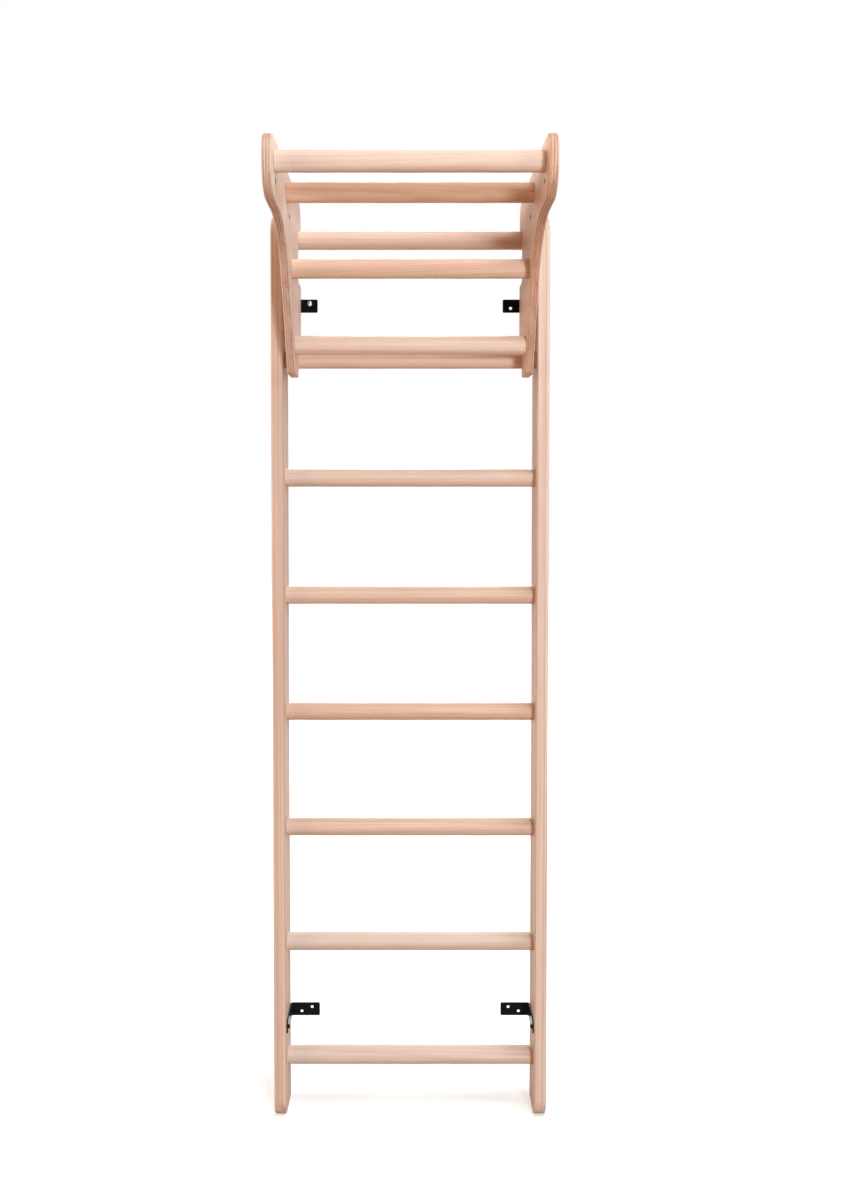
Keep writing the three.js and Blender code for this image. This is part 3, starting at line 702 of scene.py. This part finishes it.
def buildPlate(side, sign):
    node = f"side_plate_{side}"
    shape = plateShape
    low, high = plateBox
    top, second = nodeBox("rung_8"), nodeBox("rung_7")
    axis = (top[0] + top[1])[1:] / 2
    crown = high[2] - axis[1]
    thickness = (high - low)[0]
    grips = {name: np.array([axis[0], 0.0]) + np.array([-1.0, 1.0]) * (np.sum(nodeBox(name), axis=0)[1:] / 2)
             - np.array([0.0, axis[1]]) for name in gripNames}
    holes = [{"centre": place, "facets": 32, "rings": [
        (shape["screwHole"], 0.0), (shape["screwHole"], thickness - shape["headDepth"]),
        (shape["headHole"], thickness)]} for place in grips.values()]
    bore, chamfer = shape["strapHole"], shape["strapChamfer"]
    # extra rings round each strap hole's mouth carry the painted shade out onto the face
    rim = [bore + reach for reach in shape["shadeRing"][::-1]] + [bore + chamfer]
    strapPlaces = [grips["front_grip"] - np.array(shape["frontStrap"]),
                   np.array([shape["backStrap"][0], crown - shape["backStrap"][1]])]
    for place in strapPlaces:
        holes.append({"centre": place, "facets": 40, "rings": [
            *[(radius, 0.0) for radius in rim], (bore, chamfer),
            (bore, thickness - chamfer), *[(radius, thickness) for radius in rim[::-1]]]})
    outline, normals = plateOutline(top, second, low, high)
    patches = boardPatches(outline, -normals, thickness, shape["edge"], holes)
    patches = mapped(patches, lambda p: np.column_stack(
        [sign * (low[0] + p[:, 2]), axis[0] - p[:, 0], axis[1] + p[:, 1]]))
    middle = (low + high) / 2 * np.array([sign, 1.0, 1.0])
    wood = woodSpace(middle, "z", (0.25, 0.4), 0.05, **shape["wood"][side])

    def strapHoleShade(place):  # painted shade: 1 on the walls of the strap holes, fading to 0 where the darkened ring round each mouth ends
        across = np.column_stack([axis[0] - place[:, 1], place[:, 2] - axis[1]])
        away = np.linalg.norm(across[:, None] - np.array(strapPlaces), axis=2).min(axis=1)
        return np.clip((rim[0] - away) / (rim[0] - rim[1]), 0.0, 1.0)

    addPiece(node + "_ply", patches, node, birchPlywood, wood={**wood, "inShadedBore": strapHoleShade})


for side, sign in sides.items():
    buildPlate(side, sign)
print("side plates built")


# Angle brackets: a flat strip with rounded corners and four holes, folded by a quarter circle. In the strip, u
# runs from the end of the wall leg and w from the outside of the fold.
bracketShape = {"gauge": 3 * mm, "bend": 3 * mm, "corner": 3 * mm, "edge": 0.5 * mm, "hole": 3.5 * mm,
                "chamfer": 0.3 * mm, "foldSteps": 10, "wallHoles": (18 * mm, 42 * mm), "stagger": 5 * mm}


def buildBracket(level, side, sign, flip):
    node = f"bracket_{level}_{side}"
    shape = bracketShape
    low, high = nodeBox(node)
    outside = np.abs([low[0], high[0]]).max()
    gauge, outerBend = shape["gauge"], shape["bend"] + shape["gauge"]
    wallRun = (high - low)[0] - outerBend
    sideRun = (high - low)[1] - outerBend
    foldRun = (outerBend - gauge / 2) * math.pi / 2
    length, half = wallRun + foldRun + sideRun, (high - low)[2] / 2
    middle = (low + high)[2] / 2
    fold = np.linspace(wallRun, wallRun + foldRun, shape["foldSteps"] + 1)
    lower = [(u, -half, 0.0) for u in fold]
    upper = [(u, half, 0.0) for u in fold[::-1]]
    corner = shape["corner"]
    outline, normals = roundedOutline([(0.0, -half, corner), *lower, (length, -half, corner),
                                       (length, half, corner), *upper, (0.0, half, corner)])
    ribs = [(np.argmin(np.linalg.norm(outline - (u, -half), axis=1)),
             np.argmin(np.linalg.norm(outline - (u, half), axis=1))) for u in fold]
    screws = [np.sum(nodeBox(f"{node}_screw_{k}"), axis=0) / 2 for k in (1, 2)]
    places = [(wallRun + foldRun - outerBend - place[1], place[2] - middle) for place in screws]
    places += [(shape["wallHoles"][0], flip * shape["stagger"]), (shape["wallHoles"][1], -flip * shape["stagger"])]
    bore, chamfer = shape["hole"], shape["chamfer"]
    holes = [{"centre": np.array(place), "facets": 40, "rings": [
        (bore + chamfer, 0.0), (bore, chamfer), (bore, gauge - chamfer), (bore + chamfer, gauge)]}
        for place in places]

    def folded(p):  # straight to the fold, round a quarter circle, then straight along the upright
        u, v, w = p.T
        angle = np.clip((u - wallRun) / foldRun, 0.0, 1.0) * math.pi / 2
        x = outside - outerBend + (outerBend - w) * np.sin(angle) + np.minimum(u - wallRun, 0.0)
        y = -outerBend + (outerBend - w) * np.cos(angle) - np.maximum(u - wallRun - foldRun, 0.0)
        return np.column_stack([sign * x, y, middle + v])

    patches = boardPatches(outline, -normals, gauge, shape["edge"], holes, edgeSteps=3, ribs=ribs)
    addPiece(node + "_steel", mapped(patches, folded), node, blackCoat)


for level in ("lower", "upper"):
    for side, sign in sides.items():
        buildBracket(level, side, sign, -1.0 if (level, side) == ("upper", "right") else 1.0)
print("brackets folded")


# Screws: rings about an axis, from the middle of the head to the tip. The cross recess is sunk where a point
# lies on either arm, and the thread is a ridge that climbs one pitch each turn.
screwShape = {"around": 64, "headRings": 18, "shankRings": 56, "pitch": 2.2 * mm, "threadDepth": 0.35 * mm,
              "armLength": 0.52, "armHalf": 0.11, "recess": 0.2}  # arms and recess as shares of the head's width


def smooth(value):
    value = np.clip(value, 0.0, 1.0)
    return value * value * (3 - 2 * value)


def screwPatches(origin, heading, length, head, shank, domeHeight, coneHeight, tip):
    shape = screwShape
    spin = chance.uniform(0.0, math.pi / 2)
    angle = np.linspace(0.0, 2 * math.pi, shape["around"], endpoint=False)
    share = np.linspace(0.0, 1.0, shape["headRings"]) ** 0.8
    crown = domeHeight * (1 - (1 - share ** 2.6) ** 0.55)
    arm = [np.abs(share[:, None] * np.sin(angle + spin + turn)) for turn in (0.0, math.pi / 2)]
    arm = smooth((shape["armHalf"] - np.minimum(*arm)) / 0.07 + 0.5)
    sunk = arm * smooth((shape["armLength"] - share[:, None]) / 0.12 + 0.5) * shape["recess"] * 2 * head
    top = np.broadcast_to(share[:, None] * head, sunk.shape)
    run = np.linspace(domeHeight + coneHeight, length, shape["shankRings"])
    point = np.clip((length - run) / tip, 0.0, 1.0)[:, None]
    climb = np.abs(((run[:, None] / shape["pitch"] + angle / (2 * math.pi)) % 1.0) - 0.5) * 2
    neck = smooth((run - run[0]) / (2 * shape["pitch"]))[:, None]
    body = (shank - shape["threadDepth"] * neck * smooth(1.4 * climb)) * point
    radius = np.concatenate([top, body])
    depth = np.concatenate([crown[:, None] + sunk, np.broadcast_to(run[:, None], body.shape)])
    heading = np.array(heading)
    first = np.array([heading[1], heading[2], heading[0]])
    second = np.cross(heading, first)
    points = (origin + depth[..., None] * heading + (radius * np.cos(angle))[..., None] * first
              + (radius * np.sin(angle))[..., None] * second)
    return [(points.reshape(-1, 3), ringQuads(len(radius), shape["around"]))]


def buildScrew(node, heading, kind, material):
    low, high = nodeBox(node)
    heading = np.array(heading)
    origin = (low + high) / 2 - heading * (high - low) / 2
    length = abs(heading @ (high - low))
    patches = screwPatches(origin, heading, length, **kind)
    addPiece(node + "_steel", patches, node, material, sharp=40.0)


woodScrew = {"head": 5 * mm, "shank": 2.5 * mm, "domeHeight": 0.12 * mm, "coneHeight": 2.4 * mm, "tip": 6 * mm}
bracketScrew = {"head": 5 * mm, "shank": 2.25 * mm, "domeHeight": 3 * mm, "coneHeight": 0.0, "tip": 4 * mm}
wallScrew = {"head": 6 * mm, "shank": 3 * mm, "domeHeight": 4 * mm, "coneHeight": 0.0, "tip": 6 * mm}
screwCount = 0
for name in sorted(frame["nodes"]):
    if "screw" not in name:
        continue
    sign = -1.0 if "left" in name else 1.0
    if name == "wall_screw":
        buildScrew(name, (0.0, 1.0, 0.0), wallScrew, brightZinc)
    elif name.startswith("bracket"):
        buildScrew(name, (sign, 0.0, 0.0), bracketScrew, blackCoat)
    else:
        buildScrew(name, (-sign, 0.0, 0.0), woodScrew, brightZinc)
    screwCount += 1
print("screws made:", screwCount)


# Stage: pale floor, white surroundings, soft lamps

stageLook = {
    "floorHalf": 14.0, "nearGlow": 0.3, "farGlow": 1.0,
    "glowReach": (0.5, 3.5),  # metres from the ladder between which the floor turns white
    "floor": (0.8, 0.83, 0.86, 1.0),
    "bounce": (0.28, 0.14, 0.07, 1.0),  # what the floor gives back to the wood above it
    "skyLight": 0.2, "sky": (1.0, 0.7, 0.48, 1.0),
}


def seenDirectly(tree):  # 1 for camera, glossy and transmission rays
    path = tree.nodes.new("ShaderNodeLightPath")
    seen = calc(tree, "MAXIMUM", path.outputs["Is Camera Ray"], path.outputs["Is Glossy Ray"])
    return calc(tree, "MAXIMUM", seen, path.outputs["Is Transmission Ray"])


def buildFloor():
    half = stageLook["floorHalf"]
    mesh = bpy.data.meshes.new("floor")
    mesh.from_pydata([(-half, -half, 0), (half, -half, 0), (half, half, 0), (-half, half, 0)], [], [(0, 1, 2, 3)])
    material, tree, shader = newMaterial("paleFloor", Roughness=0.9, **{"Specular IOR Level": 0.1})
    shader.inputs["Emission Color"].default_value = (1.0, 1.0, 1.0, 1.0)
    away = vectorCalc(tree, "LENGTH", tree.nodes.new("ShaderNodeTexCoord").outputs["Object"])
    glow = ease(tree, away, *stageLook["glowReach"], stageLook["nearGlow"], stageLook["farGlow"])
    seen = seenDirectly(tree)
    feed(tree, shader.inputs["Base Color"], blendColour(tree, seen, stageLook["bounce"], stageLook["floor"]))
    feed(tree, shader.inputs["Emission Strength"], calc(tree, "MULTIPLY", seen, glow))
    mesh.materials.append(material)
    floor = bpy.data.objects.new("floor", mesh)
    bpy.context.scene.collection.objects.link(floor)


def buildSurroundings():
    world = bpy.data.worlds.new("whiteRoom")
    world.use_nodes = True
    tree = world.node_tree
    background = tree.nodes["Background"]
    seen = seenDirectly(tree)
    feed(tree, background.inputs["Color"], blendColour(tree, seen, stageLook["sky"], (1.0, 1.0, 1.0, 1.0)))
    feed(tree, background.inputs["Strength"], ease(tree, seen, 0.0, 1.0, stageLook["skyLight"], 1.0))
    bpy.context.scene.world = world


# A lamp stands at a bearing to the right of the front and at an elevation, both in degrees, from what it lights
lamps = {
    "frontLamp": {"bearing": 15.0, "elevation": 0.5, "away": 4.8, "aim": (0.0, -0.2, 1.6), "size": 0.8,
                  "watts": 140.0, "colour": (0.93, 1.02, 1.055)},
    "topLamp": {"bearing": 55.0, "elevation": 72.0, "away": 9.0, "aim": (0.0, -0.2, 1.1), "size": 4.5,
                "watts": 470.0, "colour": (1.0, 1.0, 0.98)},
    "sideLamp": {"bearing": 62.0, "elevation": 25.0, "away": 9.0, "aim": (0.0, -0.2, 1.1), "size": 2.6,
                 "watts": 150.0, "colour": (0.95, 1.0, 1.02)},
    "headLamp": {"bearing": 50.0, "elevation": 15.0, "away": 0.9, "aim": (0.25, -0.45, 1.95), "size": 0.3,
                 "watts": 1.2, "colour": (1.0, 1.0, 1.0)},
    "leftLamp": {"bearing": -60.0, "elevation": 12.0, "away": 9.0, "aim": (0.0, -0.2, 1.1), "size": 2.6,
                 "watts": 215.0, "colour": (1.0, 0.7, 0.46)},
    "backLamp": {"bearing": 180.0, "elevation": 32.0, "away": 9.0, "aim": (0.0, -0.2, 1.1), "size": 2.2,
                 "watts": 460.0, "colour": (1.0, 0.99, 0.97)},
    "wingLamp": {"bearing": -91.0, "elevation": 10.0, "away": 9.0, "aim": (0.0, -0.2, 1.1), "size": 1.0,
                 "watts": 350.0, "colour": (0.94, 1.0, 1.06)},
}


def buildLamp(name, look):
    bearing, elevation = math.radians(look["bearing"]), math.radians(look["elevation"])
    outward = Vector((math.sin(bearing) * math.cos(elevation), -math.cos(bearing) * math.cos(elevation),
                      math.sin(elevation)))
    data = bpy.data.lights.new(name, "AREA")
    data.shape = "DISK"
    data.size = look["size"]
    data.energy = look["watts"]
    data.color = look["colour"]
    lamp = bpy.data.objects.new(name, data)
    lamp.location = Vector(look["aim"]) + look["away"] * outward
    lamp.rotation_euler = (-outward).to_track_quat("-Z", "Y").to_euler()
    bpy.context.scene.collection.objects.link(lamp)


buildFloor()
buildSurroundings()
for name, look in lamps.items():
    buildLamp(name, look)
bpy.context.scene.view_settings.view_transform = "Standard"
print("stage set")


# Camera: level with the sixth rung and 2.4 m in front of the uprights. The image is 857 by 1200 pixels, and its
# sensor width lies along the 1200 pixels.
cameraLook = {"place": (0.0, -2.505, 1.4176), "tiltDown": 2.1376, "focalPixels": 1086.01, "imageHeight": 1200,
              "imageWidth": 857, "axisPixel": (410.17, 530.54), "sensor": 36.0}


def buildCamera():
    look = cameraLook
    data = bpy.data.cameras.new("frontCamera")
    data.sensor_width = look["sensor"]
    data.lens = look["focalPixels"] / look["imageHeight"] * look["sensor"]
    data.shift_x = (look["imageWidth"] / 2 - look["axisPixel"][0]) / look["imageHeight"]
    data.shift_y = (look["axisPixel"][1] - look["imageHeight"] / 2) / look["imageHeight"]
    camera = bpy.data.objects.new("frontCamera", data)
    camera.location = look["place"]
    camera.rotation_euler = (math.radians(90.0 - look["tiltDown"]), 0.0, 0.0)
    bpy.context.scene.collection.objects.link(camera)
    bpy.context.scene.camera = camera


buildCamera()
bpy.context.view_layer.update()
